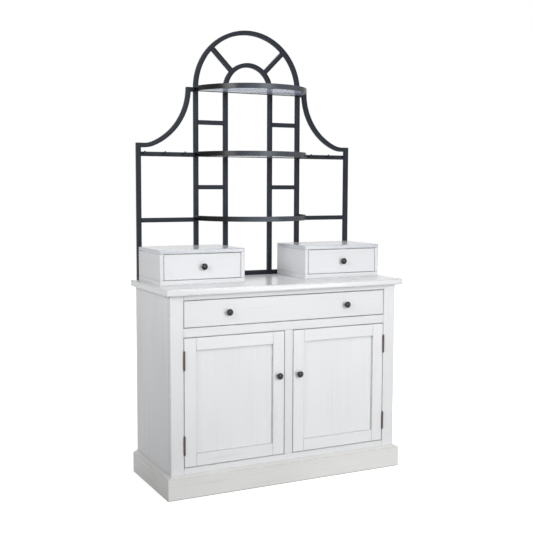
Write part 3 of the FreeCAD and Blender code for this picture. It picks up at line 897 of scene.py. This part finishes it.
@dataclass
class Studio:
    """The camera, the lamps, and a white floor that runs into a white surround."""

    camera_place: tuple[float, float, float] = (-1.91308, -3.81615, 1.35772)
    camera_yaw: float = 0.4627
    camera_pitch: float = -0.0895
    camera_roll: float = 0.0035
    focal_pixels: float = 909.16
    picture_pixels: int = 533
    sensor_width: float = 36.0
    floor_half: float = 9.0
    floor_fade: Range = (0.7, 1.5)
    floor_glow: Range = (0.80, 1.0)
    ambient: float = 0.44
    lamps: dict[str, Lamp] = field(default_factory=lambda: {
        "key": Lamp((0.9, -5.3, 2.5), 2.2, 120.0),
        "sheen": Lamp((2.7, -5.3, 0.5), 1.4, 44.0, 0.3),
        "fill": Lamp((-2.7, -1.4, 2.2), 1.2, 7.0, 1.6, 60.0),
        "crown": Lamp((0.5, 1.7, 4.0), 1.6, 38.0),
    })

    def build(self) -> None:
        """Set up the view, the light and the floor."""
        self.place_camera()
        self.light_room()
        for name, lamp in self.lamps.items():
            lamp.hang(name)
        self.lay_floor()
        bpy.context.scene.view_settings.view_transform = "Standard"

    def place_camera(self) -> None:
        """Stand the camera at its measured place and angle."""
        camera = bpy.data.objects.new("camera", bpy.data.cameras.new("camera"))
        bpy.context.collection.objects.link(camera)
        turn = (Matrix.Rotation(-self.camera_yaw, 4, "Z")
                @ Matrix.Rotation(math.pi / 2 + self.camera_pitch, 4, "X")
                @ Matrix.Rotation(self.camera_roll, 4, "Z"))
        camera.matrix_world = Matrix.Translation(self.camera_place) @ turn
        camera.data.sensor_width = self.sensor_width
        camera.data.lens = self.focal_pixels / self.picture_pixels * self.sensor_width
        bpy.context.scene.camera = camera

    def light_room(self) -> None:
        """A surround that is white to look at and dimmer as a light."""
        world = bpy.data.worlds.new("surround")
        bpy.context.scene.world = world
        nodes = NodeTree(world)
        glow = nodes.tree.nodes["Background"].inputs
        nodes.feed(glow["Color"], WHITE)
        nodes.feed(glow["Strength"], nodes.span(nodes.seen(), 0.0, 1.0, self.ambient, 1.0))

    def lay_floor(self) -> None:
        """A wide floor, bright enough to look white, that still takes the shadow."""
        clear_bench()
        bpy.ops.mesh.primitive_plane_add(size=2 * self.floor_half)
        floor = bpy.context.object
        floor.name = "floor"
        recipe = Recipe("floor")
        distance = recipe.add("VectorMath", {"operation": "LENGTH"},
                              in_0=recipe.place(1.0, 1.4, 1.0)).outputs["Value"]
        glow = recipe.maths("MULTIPLY", recipe.seen(),
                            recipe.span(distance, *self.floor_fade, *self.floor_glow))
        recipe.surface(Base_Color=rgb(0.45, 0.45, 0.45), Roughness=0.9, Specular_IOR_Level=0.0,
                       Emission_Color=WHITE, Emission_Strength=glow)
        floor.data.materials.append(recipe.material)


# --- boards ---

@dataclass
class Board:
    """A straight board with eased edges; the last two fields are shares of its thickness."""

    name: str
    low: Vector
    high: Vector
    ease: float = 1.1 * MM
    margin: float = 4.0 * MM
    most_ease: float = 0.2
    most_margin: float = 0.3

    def build(self) -> Workpiece:
        """Cut the blank, ease its edges and mark the margins that wear.

        Returns:
            The board.
        """
        work = Workpiece.block(self.name, self.low, self.high)
        thinnest = min(self.high - self.low)
        work.edges(lambda start, end: True).ease(min(self.ease, thinnest * self.most_ease))
        return work.mark_edges(min(self.margin, thinnest * self.most_margin))


def node_board(name: str, **choices: float) -> Workpiece:
    """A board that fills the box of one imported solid, with other fields of Board to choose."""
    return Board(f"{name}_board", *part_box(name), **choices).build()


# --- case ---

@dataclass
class Case:
    """The sideboard's carcase, face frame, worktop and plinth."""

    worktop_round: float = 2.5 * MM
    worktop_margin: float = 5.0 * MM
    plinth_flat: float = 94.0 * MM
    plinth_projection: float = 21.0 * MM
    plinth_round: float = 1.25 * MM
    plinth_angle: float = 20.0
    plinth_margin: float = 3.0 * MM
    moulding_run: float = 15.0 * MM

    def build(self) -> None:
        """Model and finish every board of the case."""
        upright = ("frame_stile_left", "frame_stile_right", "frame_middle_stile", "back_panel")
        level = ("frame_top_rail", "frame_middle_rail", "frame_bottom_rail", "floor_panel",
                 "inner_shelf")
        for names, finish in ((("side_panel_left", "side_panel_right"), SidePaint()),
                              (upright, Paint()), (level, Paint(Axis.X))):
            for name in names:
                node_board(name).finish("cabinet", finish, name)
        top = node_board("worktop", ease=self.worktop_round, margin=self.worktop_margin)
        top.finish("cabinet", TopPaint(Axis.X), "worktop")
        self.plinth()
        dress(Paint(Axis.Y), "drawer_cleats")
        dress(Zinc(), "shelf_pegs", "drawer_slide_channels")

    def plinth(self) -> None:
        """Mitred skirting boards with a sloped moulding along the top."""
        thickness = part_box("frame_stile_left")[0].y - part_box("plinth_front")[0].y
        run = thickness * self.moulding_run / self.plinth_projection
        low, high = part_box("plinth_front")
        rise = high.z - self.plinth_flat
        front = Workpiece.block("plinth_front_board", low, spot(high.x, low.y + thickness, high.z))
        front.slice(spot(0.0, low.y, self.plinth_flat), spot(0.0, -rise, run))
        for sign, corner in ((-1, low), (1, spot(high.x, low.y, 0.0))):
            front.slice(corner, spot(sign, 1.0))
        self.complete(front, Axis.X, "plinth_front")
        low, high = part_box("plinth_sides")
        left = Workpiece.block("plinth_side_left", low, spot(low.x + thickness, high.y, high.z))
        left.slice(spot(low.x, 0.0, self.plinth_flat), spot(-rise, 0.0, run))
        left.slice(low, spot(1.0, -1.0))
        for side in (left, left.mirrored("plinth_side_right")):
            self.complete(side, Axis.Y, "plinth_sides")

    def complete(self, work: Workpiece, grain: Axis, node: str) -> None:
        """Round a skirting board's edges and finish it, brushed along a grain."""
        work.tidy().sharp(self.plinth_angle).ease(self.plinth_round).mark_edges(self.plinth_margin)
        work.finish("cabinet", SkirtingPaint(grain), node)


# --- turned and cast pieces ---

@dataclass(frozen=True)
class Ring:
    """One station of a turned profile: its radius and its height over the foot."""

    radius: float
    height: float


def turned(name: str, foot: Vector, axis: Axis, sign: int, profile: Sequence[Ring],
           sides: int = 40) -> Workpiece:
    """Turn a solid on a lathe, from its foot to its crown.

    Args:
        name: The piece's name.
        foot: The middle of the foot.
        axis: The turning axis.
        sign: 1 to rise along the axis, -1 to rise against it.
        profile: The stations from the foot up.
        sides: How many sides each ring has.

    Returns:
        The closed solid.
    """
    way = axis.vector * sign
    work = Workpiece.start(
        name, bpy.ops.mesh.primitive_circle_add, vertices=sides, radius=profile[0].radius,
        fill_type="NGON", location=foot, rotation=way.to_track_quat("Z", "Y").to_euler())
    work.all()
    for lower, upper in zip(profile, profile[1:]):
        work.extrude(way * (upper.height - lower.height))
        work.scale(upper.radius / lower.radius, foot + way * upper.height)
    return work.tidy()


def dome(rim: Ring, crown: float, steps: int = 6, flat: float = 0.25) -> list[Ring]:
    """The stations of a round crown over a rim.

    Args:
        rim: Where the crown starts.
        crown: The height of its top over the foot.
        steps: How many stations it has.
        flat: How much of one step is left flat at the top.

    Returns:
        The stations after the rim.
    """
    rise = crown - rim.height
    radius = (rim.radius ** 2 + rise ** 2) / (2 * rise)
    reach = math.asin(rim.radius / radius)
    rings = []
    for step in range(1, steps + 1):
        angle = reach * (1 - step / (steps + flat))
        rings.append(Ring(radius * math.sin(angle), crown - radius * (1 - math.cos(angle))))
    return rings


def stations(*pairs: Range) -> list[Ring]:
    """A profile's stations from radii and heights in millimetres."""
    return [Ring(radius * MM, height * MM) for radius, height in pairs]


@dataclass
class Knob:
    """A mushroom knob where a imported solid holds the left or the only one."""

    node: str
    stand: float = 24.0 * MM

    def build(self) -> Workpiece:
        """Turn the foot, the neck, the stepped rim and the crown, pointing to the front.

        Returns:
            The knob.
        """
        low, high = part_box(self.node)
        half = (high.z - low.z) / 2
        rings = stations(
            (7.1, 0.0), (7.5, 0.5), (7.5, 2.0), (6.9, 2.5), (5.9, 3.6), (5.0, 5.4), (4.8, 8.0),
            (5.5, 10.6), (7.3, 12.6), (11.8, 14.4), (14.1, 15.8), (15.0, 16.8), (15.0, 17.8),
            (14.6, 18.6))
        return turned("knob", spot(low.x + half, high.y, low.z + half), Axis.Y, -1,
                      rings + dome(rings[-1], self.stand))


# --- doors ---

@dataclass
class Door:
    """A left-hand frame-and-panel door with its knob, and its mirror image."""

    groove_depth: float = 9.0 * MM
    ease: float = 0.9 * MM
    margin: float = 3.5 * MM
    panel_ease: float = 0.5 * MM
    panel_margin: float = 10.8 * MM

    def build(self) -> None:
        """Model the left door and mirror it."""
        low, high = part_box("left_door_stiles")
        rail_low, rail_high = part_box("left_door_rails")
        panel_low, panel_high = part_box("left_door_panel")
        self.groove = (panel_low.y, panel_high.y)
        width = rail_low.x - low.x
        across, upright = Axis.X.vector, Axis.Z.vector
        stiles, rails = DoorPaint(), DoorPaint(Axis.X)
        members = (
            ("stiles", stiles, self.member("hinge_stile", low, spot(rail_low.x, high.y, high.z),
                                           across)),
            ("stiles", stiles, self.member("free_stile", spot(rail_high.x, low.y, low.z), high,
                                           -across)),
            ("rails", rails, self.member("low_rail", rail_low,
                                         spot(rail_high.x, high.y, low.z + width), upright)),
            ("rails", rails, self.member("high_rail", spot(rail_low.x, low.y, high.z - width),
                                         rail_high, -upright)),
            ("panel", PanelPaint(), Board("panel", panel_low, panel_high, self.panel_ease,
                                          self.panel_margin).build()),
        )
        for part, finish, work in members:
            self.hang(part, finish, work)
        self.hang("knob", KnobMetal(), Knob("left_door_knob").build())

    def hang(self, part: str, finish: Finish, work: Workpiece) -> None:
        """Finish a left-hand piece and its mirror image, as one part of both doors."""
        work.finish_pair(f"{{side}}_door_{work.object.name}", "{side}_door", finish,
                         f"{{side}}_door_{part}")

    def member(self, name: str, low: Vector, high: Vector, inward: Vector) -> Workpiece:
        """A stile or rail with the panel's groove along its inner edge.

        Args:
            name: The piece's name.
            low: Its lowest corner.
            high: Its highest corner.
            inward: The way to the panel.

        Returns:
            The member.
        """
        work = Workpiece.block(name, low, high)
        for y in self.groove:
            work.slice(spot(y=y), Axis.Y.vector, clear=False)
        front, back = self.groove
        work.faces(lambda face: face.normal.dot(inward) > ALIGNED
                   and front < face.center.y < back)
        work.extrude(-inward * self.groove_depth)
        work.tidy().sharp().ease(self.ease)
        return work.mark_edges(self.margin)


@dataclass
class Hinges:
    """The lift-off hinges: finial pins, and the leaves that stay as imported."""

    pin_radius: float = 2.0 * MM
    length: float = 88.0 * MM

    def build(self) -> None:
        """Turn the pins with their finials and coat the leaves."""
        low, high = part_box("hinge_pins")
        pins = []
        for bottom in (low.z, high.z - self.length):
            foot = spot(low.x + self.pin_radius, (low.y + high.y) / 2, bottom)
            pins.append(turned("hinge_pin", foot, Axis.Z, 1, self.profile(), sides=24))
        pins[0].join(*pins[1:]).finish_pair("hinge_pins_{side}", "cabinet", Bronze(), "hinge_pins")
        dress(Bronze(), "hinge_frame_leaves", "left_door_hinge_leaves", "right_door_hinge_leaves")

    def profile(self) -> list[Ring]:
        """The pin's stations: a finial, the shank inside the knuckles, and a finial."""
        lower = stations((0.5, 0.0), (1.6, 0.35), (2.7, 1.3), (2.3, 2.1), (3.4, 2.8), (3.6, 3.9),
                         (1.9, 4.0))
        return lower + [Ring(ring.radius, self.length - ring.height) for ring in reversed(lower)]


# --- drawers ---

@dataclass
class WideDrawer:
    """The full-width drawer: painted front, plain wooden box and two knobs."""

    box_ease: float = 0.6 * MM

    def build(self) -> None:
        """Model every piece of the drawer."""
        body = "wide_drawer"
        node_board("wide_drawer_front").finish(body, Paint(Axis.X), "wide_drawer_front")
        low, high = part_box("wide_drawer_sides")
        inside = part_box("wide_drawer_back")[0].x
        side = Board("side", low, spot(inside, high.y, high.z)).build()
        side.finish_pair("wide_drawer_side_{side}", body, DrawerWood(Axis.Y), "wide_drawer_sides")
        for name in ("wide_drawer_back", "wide_drawer_bottom"):
            node_board(name, ease=self.box_ease).finish(body, DrawerWood(Axis.X), name)
        knob = Knob("wide_drawer_knobs").build()
        knob.finish_pair("wide_knob_{side}", body, KnobMetal(), "wide_drawer_knobs")
        dress(Zinc(), "wide_drawer_rails")


@dataclass
class DrawerBox:
    """A small drawer box on the worktop, and its mirror image."""

    wall: float = 10.0 * MM
    bottom: float = 5.0 * MM
    tray_ease: float = 0.6 * MM

    def build(self) -> None:
        """Model the left box and mirror it."""
        for part, finish in (("top", LidPaint(Axis.X)), ("base", BoxPaint(Axis.X)),
                             ("back", BoxPaint(Axis.X))):
            self.set_pair(part, finish, node_board(f"left_box_{part}"))
        low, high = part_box("left_box_sides")
        back_low, back_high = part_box("left_box_back")
        outer = Board("side_outer", low, spot(back_low.x, high.y, high.z)).build()
        inner = Board("side_inner", spot(back_high.x, low.y, low.z), high).build()
        for side in (outer, inner):
            self.set_pair("sides", BoxPaint(Axis.Y), side)
        drawer = "{side}_box_drawer"
        front = node_board("left_box_drawer_front")
        self.set_pair("drawer_front", BoxPaint(Axis.X), front, drawer)
        self.set_pair("drawer_tray", DrawerWood(Axis.Y), self.tray(), drawer)
        self.set_pair("knob", KnobMetal(), Knob("left_box_knob").build(), drawer)

    def set_pair(self, part: str, finish: Finish, work: Workpiece, body: str = "cabinet") -> None:
        """Finish a left-hand piece and its mirror image, as one part of both boxes."""
        name = "{side}_box_" + work.object.name.removeprefix("left_box_")
        work.finish_pair(name, body, finish, f"{{side}}_box_{part}")

    def tray(self) -> Workpiece:
        """The drawer's open box, hollowed from the top.

        Returns:
            The tray.
        """
        low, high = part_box("left_box_drawer_tray")
        work = Workpiece.block("tray", low, high)
        work.faces(lambda face: face.normal.z > ALIGNED)
        work.run(bpy.ops.mesh.inset, thickness=self.wall)
        work.extrude(spot(z=-(high.z - low.z - self.bottom)))
        return work.tidy().sharp().ease(self.tray_ease)


# --- rack ---

@dataclass
class SquareTube:
    """Square steel tube with rounded corners, straight or bent."""

    size: float = 21.0 * MM
    corner: float = 1.8 * MM

    def straight(self, name: str, low: Vector, high: Vector, run: Axis) -> Workpiece:
        """A straight length between two corners, rounded along its run."""
        return Workpiece.block(name, low, high).edges(
            lambda start, end: abs((end - start).normalized().dot(run.vector)) > ALIGNED
        ).ease(self.corner, 3)

    def section(self, name: str, centre: Vector) -> Workpiece:
        """The end of a tube, facing up and selected, from which a bend starts."""
        end = Workpiece.start(name, bpy.ops.mesh.primitive_plane_add, size=self.size,
                              location=centre)
        return end.all().run(bpy.ops.mesh.bevel, offset=self.corner, segments=3,
                             affect="VERTICES").all()


@dataclass
class Rack:
    """The welded rack: base rail, posts, crossbars, arches, spokes and scrolls."""

    tube: SquareTube = field(default_factory=SquareTube)
    arch_centre: float = 1814.5 * MM
    tall_face: float = 283.5 * MM
    inner_face: float = 130.0 * MM
    rung_tops: tuple[float, ...] = (1663.0 * MM, 1356.5 * MM)
    wing_tops: tuple[float, ...] = (1509.5 * MM, 1202.5 * MM)
    shoulder_face: float = 321.0 * MM
    spoke_angle: float = 45.0
    seat: float = 0.6 * MM
    scroll_radius: float = 288.0 * MM
    toe_radius: float = 120.0 * MM
    cap: float = 1.2 * MM
    arch_steps: int = 72
    scroll_steps: tuple[int, int] = (40, 16)

    def build(self) -> None:
        """Model every tube of the rack."""
        self.front, self.rear = (corner.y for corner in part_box("rack_base_rail"))
        self.middle = (self.front + self.rear) / 2
        self.hub = spot(0.0, self.middle, self.arch_centre)
        rail = self.tube.straight("base_rail", *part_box("rack_base_rail"), Axis.X)
        rail.finish("cabinet", PowderCoat(), "rack_base_rail")
        for node in ("rack_outer_posts", "rack_tall_posts", "rack_inner_posts"):
            low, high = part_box(node)
            self.pair(self.tube.straight(node, low, spot(low.x + self.tube.size, high.y, high.z),
                                         Axis.Z), node)
        self.crossbars()
        outer = self.arch("outer_arch", self.tall_face)
        outer.finish("cabinet", PowderCoat(), "rack_outer_arch")
        self.arch("inner_arch", self.inner_face).finish("cabinet", PowderCoat(), "rack_fanlight")
        self.pair(self.spoke(), "rack_fanlight")
        self.pair(self.scroll(), "rack_scrolls")

    def pair(self, left: Workpiece, node: str) -> None:
        """Finish a left-hand piece of tube and its mirror image."""
        name = left.object.name.removeprefix("rack_") + "_{side}"
        left.finish_pair(name, "cabinet", PowderCoat(), node)

    def crossbars(self) -> None:
        """Two rungs and two wing bars a side."""
        size = self.tube.size
        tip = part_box("rack_crossbars")[0].x
        spans = (("rung", -self.tall_face + size, -self.inner_face, self.rung_tops),
                 ("wing_bar", tip, -self.tall_face, self.wing_tops))
        for name, start, end, tops in spans:
            bars = [self.tube.straight(name, spot(start, self.front, top - size),
                                       spot(end, self.rear, top), Axis.X) for top in tops]
            self.pair(bars[0].join(*bars[1:]), "rack_crossbars")

    def arch(self, name: str, face: float) -> Workpiece:
        """A half ring of tube that springs from the posts, its outer face at a distance."""
        end = self.tube.section(name, self.hub + spot(face - self.tube.size / 2))
        return end.bend(self.hub, math.pi, -1, self.arch_steps).tidy()

    def spoke(self) -> Workpiece:
        """A spoke from the inner arch to the outer one.

        Returns:
            The spoke.
        """
        half = self.tube.size / 2
        low = spot(-half, self.front, self.arch_centre + self.inner_face - self.seat)
        high = spot(half, self.rear,
                    self.arch_centre + self.tall_face - self.tube.size + self.seat)
        spoke = self.tube.straight("spoke", low, high, Axis.Z)
        return spoke.turn(self.spoke_angle, Axis.Y, self.hub)

    def scroll(self) -> Workpiece:
        """The shoulder bar, and the concave bend that falls from it to the outer post.

        Returns:
            Both as one piece.
        """
        low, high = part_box("rack_scrolls")
        size = self.tube.size
        start = spot(-self.shoulder_face + size / 2, self.middle, high.z - self.cap)
        fall = start.z - (low.z + size / 2)
        turn = math.asin((fall - self.toe_radius) / (self.scroll_radius - self.toe_radius))
        large = start - spot(self.scroll_radius)
        reach = self.scroll_radius - self.toe_radius
        small = large + spot(reach * math.cos(turn), 0.0, -reach * math.sin(turn))
        work = self.tube.section("scroll", start).bend(large, turn, 1, self.scroll_steps[0])
        work.bend(small, math.pi / 2 - turn, 1, self.scroll_steps[1])
        work.extrude(spot(low.x - small.x)).tidy()
        cap = self.tube.straight("cap", spot(-self.shoulder_face, self.front, start.z),
                                 spot(-self.shoulder_face + size, self.rear, high.z), Axis.Z)
        bar = self.tube.straight("bar", spot(-self.shoulder_face + size, self.front, high.z - size),
                                 spot(-self.tall_face, self.rear, high.z), Axis.X)
        return work.join(cap, bar)


@dataclass
class Hooks:
    """Square rods that stand out from the upper wing bars and turn up at their tips."""

    per_wing: int = 3
    first: float = 339.0 * MM
    pitch: float = 99.0 * MM
    bar: float = 6.0 * MM
    ease: float = 1.2 * MM

    def build(self) -> None:
        """Model one hook and copy it along both wings."""
        low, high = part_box("rack_hooks")
        master = self.hook(spot(-self.first, low.y, low.z), high)
        copies = [master.moved(f"hook_{number}", spot(-number * self.pitch))
                  for number in range(1, self.per_wing)]
        master.join(*copies).finish_pair("hooks_{side}", "cabinet", PowderCoat(), "rack_hooks")

    def hook(self, heel: Vector, high: Vector) -> Workpiece:
        """A rod out of the bar whose end is drawn up into the tip.

        Args:
            heel: The middle of the hook's lowest front edge.
            high: The highest corner of all the hooks.

        Returns:
            The hook.
        """
        half = self.bar / 2
        work = Workpiece.block("hook", heel - spot(half),
                               spot(heel.x + half, high.y, heel.z + self.bar))
        work.slice(heel + spot(y=self.bar), Axis.Y.vector, clear=False)
        work.faces(lambda face: face.normal.z > ALIGNED and face.center.y < heel.y + self.bar)
        work.extrude(spot(z=high.z - heel.z - self.bar))
        return work.tidy().sharp().ease(self.ease)


# --- shelves ---

@dataclass
class RoundShelf:
    """Three half-round flat bands, each with a rear bar and tabs under a pane of glass."""

    metal: float = 3.0 * MM
    band_height: float = 24.0 * MM
    bar_width: float = 14.0 * MM
    tab_reach: float = 16.0 * MM
    tab_width: float = 20.0 * MM
    tab_angle: float = 45.0
    glass: float = 6.0 * MM
    play: float = 1.0 * MM
    undersides: tuple[float, ...] = (1796.0 * MM, 1489.5 * MM, 1188.0 * MM)
    arc_setback: float = 5.0 * MM
    sides: int = 256
    corner_angle: float = 40.0
    band_ease: float = 0.6 * MM
    bar_ease: float = 0.5 * MM
    bar_gap: float = 1.0 * MM
    glass_ease: float = 0.8 * MM

    def build(self) -> None:
        """Model the top shelf and copy it to the other two heights."""
        self.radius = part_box("rack_tall_posts")[1].x
        self.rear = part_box("shelf_bands")[1].y
        self.centre = self.rear + self.arc_setback
        top = self.undersides[0]
        band, pane = self.band(top), self.pane(top)
        for number, underside in enumerate(self.undersides[1:], start=2):
            drop = spot(z=underside - top)
            band.moved(f"shelf_band_{number}", drop).finish("cabinet", BandCoat(), "shelf_bands")
            pane.moved(f"shelf_glass_{number}", drop).finish("cabinet", ShelfGlass(),
                                                             "glass_shelves")
        band.finish("cabinet", BandCoat(), "shelf_bands")
        pane.finish("cabinet", ShelfGlass(), "glass_shelves")

    def disc(self, name: str, margin: float, low: float, high: float) -> Workpiece:
        """A round slab over the shelf's centre, drawn in by a margin, between two heights."""
        return Workpiece.start(
            name, bpy.ops.mesh.primitive_cylinder_add, vertices=self.sides,
            radius=self.radius - margin, depth=high - low,
            location=spot(0.0, self.centre, (low + high) / 2))

    def band(self, underside: float) -> Workpiece:
        """The upright band, and the bar and tabs inside it that carry the glass.

        Args:
            underside: The height of its lower edge.

        Returns:
            The band.
        """
        seat = underside + self.metal
        ring = self.disc("shelf_band_1", 0.0, underside, underside + self.band_height)
        ring.faces(lambda face: abs(face.normal.z) > ALIGNED)
        ring.run(bpy.ops.mesh.inset, thickness=self.metal)
        ring.run(bpy.ops.mesh.bridge_edge_loops)
        ring.slice(spot(y=self.rear), Axis.Y.vector)
        ring.tidy().sharp(self.corner_angle).ease(self.band_ease, 1)
        half = self.radius - self.metal / 2 - self.bar_gap
        bar = Board("bar", spot(-half, self.rear - self.bar_width, underside),
                    spot(half, self.rear, seat), self.bar_ease)
        root = self.centre - self.radius + self.metal / 2
        tab = Board("tab", spot(-self.tab_width / 2, root, underside),
                    spot(self.tab_width / 2, root + self.tab_reach, seat), self.bar_ease)
        tabs = [tab.build().turn(turn * self.tab_angle, Axis.Z, spot(0.0, self.centre, seat))
                for turn in (-1, 0, 1)]
        return ring.join(bar.build(), *tabs)

    def pane(self, underside: float) -> Workpiece:
        """The glass that lies on the bar and the tabs.

        Args:
            underside: The height of the band's lower edge.

        Returns:
            The pane.
        """
        low = underside + self.metal
        work = self.disc("shelf_glass_1", self.metal + self.play, low, low + self.glass)
        work.slice(spot(y=self.rear - self.play), Axis.Y.vector)
        return work.tidy().sharp(self.corner_angle).ease(self.glass_ease)


# --- report ---


def main() -> None:
    """Build every sub-assembly in order, and log each one as it is built."""
    logging.basicConfig(level=logging.INFO, format="%(name)s: %(message)s")
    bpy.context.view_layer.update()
    for part in (Studio(), Case(), Door(), Hinges(), WideDrawer(), DrawerBox(), Rack(), Hooks(),
                 RoundShelf()):
        part.build()
        log.info("%s built", type(part).__name__)


if __name__ == "__main__":
    main()
